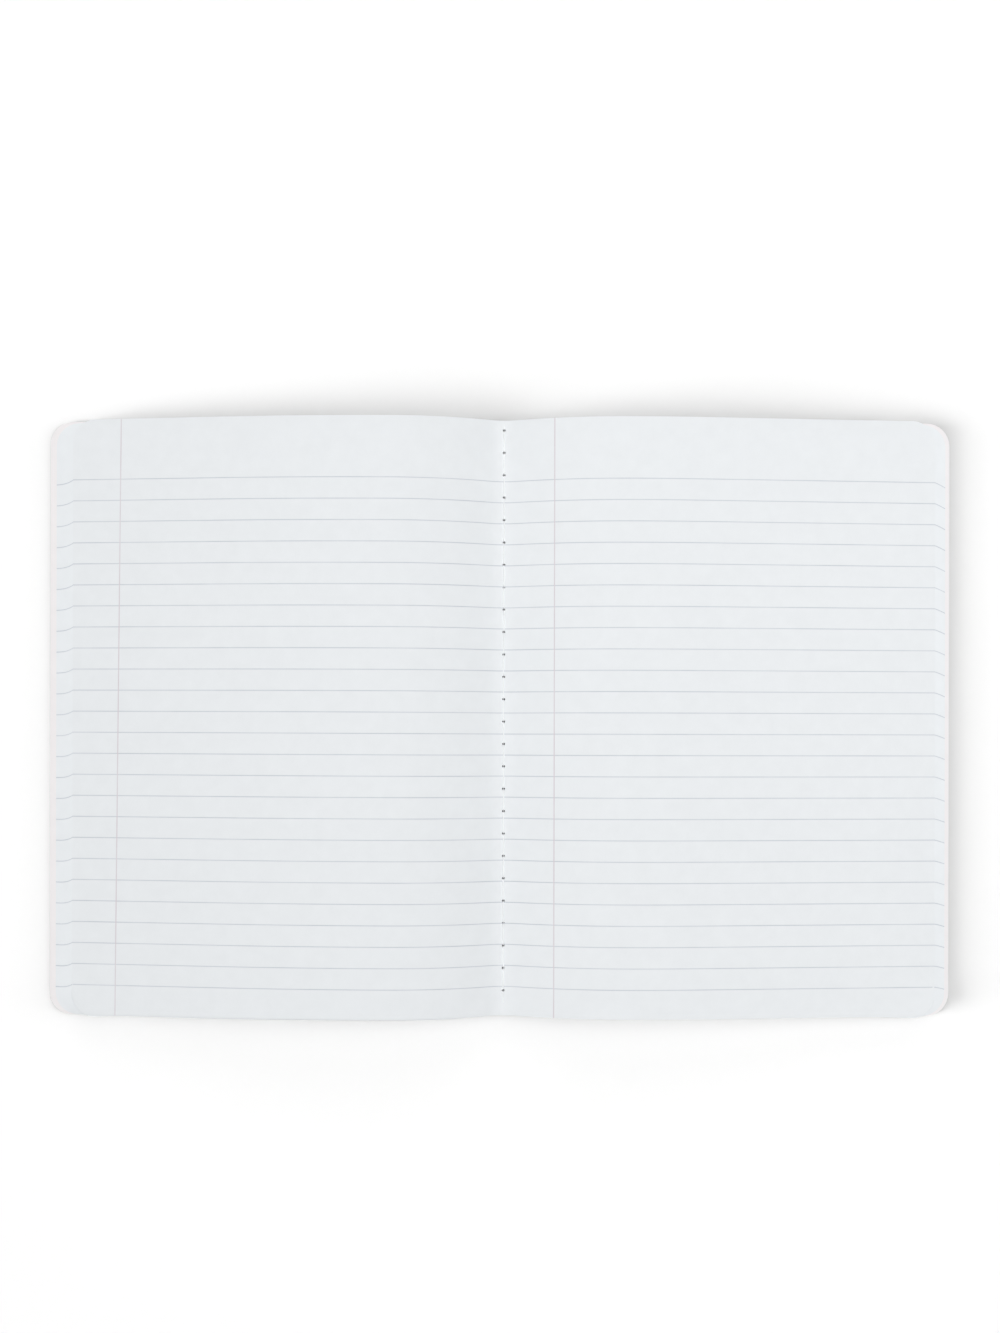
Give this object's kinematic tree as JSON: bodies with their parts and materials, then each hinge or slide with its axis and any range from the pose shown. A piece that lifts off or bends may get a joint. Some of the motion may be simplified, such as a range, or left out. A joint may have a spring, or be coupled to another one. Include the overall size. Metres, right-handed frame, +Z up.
{
  "type": "composition notebook",
  "caption": "Sewn composition notebook lying open at its centre spread, with ruled pages arched over the fold and stiff hinged covers.",
  "frame": {"origin": "middle of the open notebook's footprint, at the height of the surface it lies on", "axes": "+X across the spread from the fold over the right-hand page, +Y towards the head of the pages, +Z up"},
  "size_m": [0.3748, 0.2476, 0.0177],
  "materials": {
    "paper": "smooth white writing paper, matte",
    "cover_board": "stiff board, black and white marbled outside, plain off-white inside",
    "spine_cloth": "black woven book cloth tape",
    "sewing_thread": "white twisted cotton thread",
    "rule_ink": "thin pale blue printed line",
    "margin_ink": "thin pale red printed line"
  },
  "bodies": {
    "block": {"pages": "paper", "spine_tape": "spine_cloth", "inner_thread": "sewing_thread", "outer_thread": "sewing_thread", "ruled_lines": "rule_ink", "margin_lines": "margin_ink"},
    "front_cover": {"front_cover": "cover_board"},
    "back_cover": {"back_cover": "cover_board"}
  },
  "joints": [
    {"name": "front_cover_hinge", "type": "hinge", "parent": "block", "child": "front_cover", "pos_m": [-0.0032, 0, 0.00025], "axis": [0, -1, 0], "range_deg": [0, 90], "deforming": ["spine_tape"]},
    {"name": "back_cover_hinge", "type": "hinge", "parent": "block", "child": "back_cover", "pos_m": [0.0032, 0, 0.00025], "axis": [0, 1, 0], "range_deg": [0, 90], "deforming": ["spine_tape"]}
  ]
}
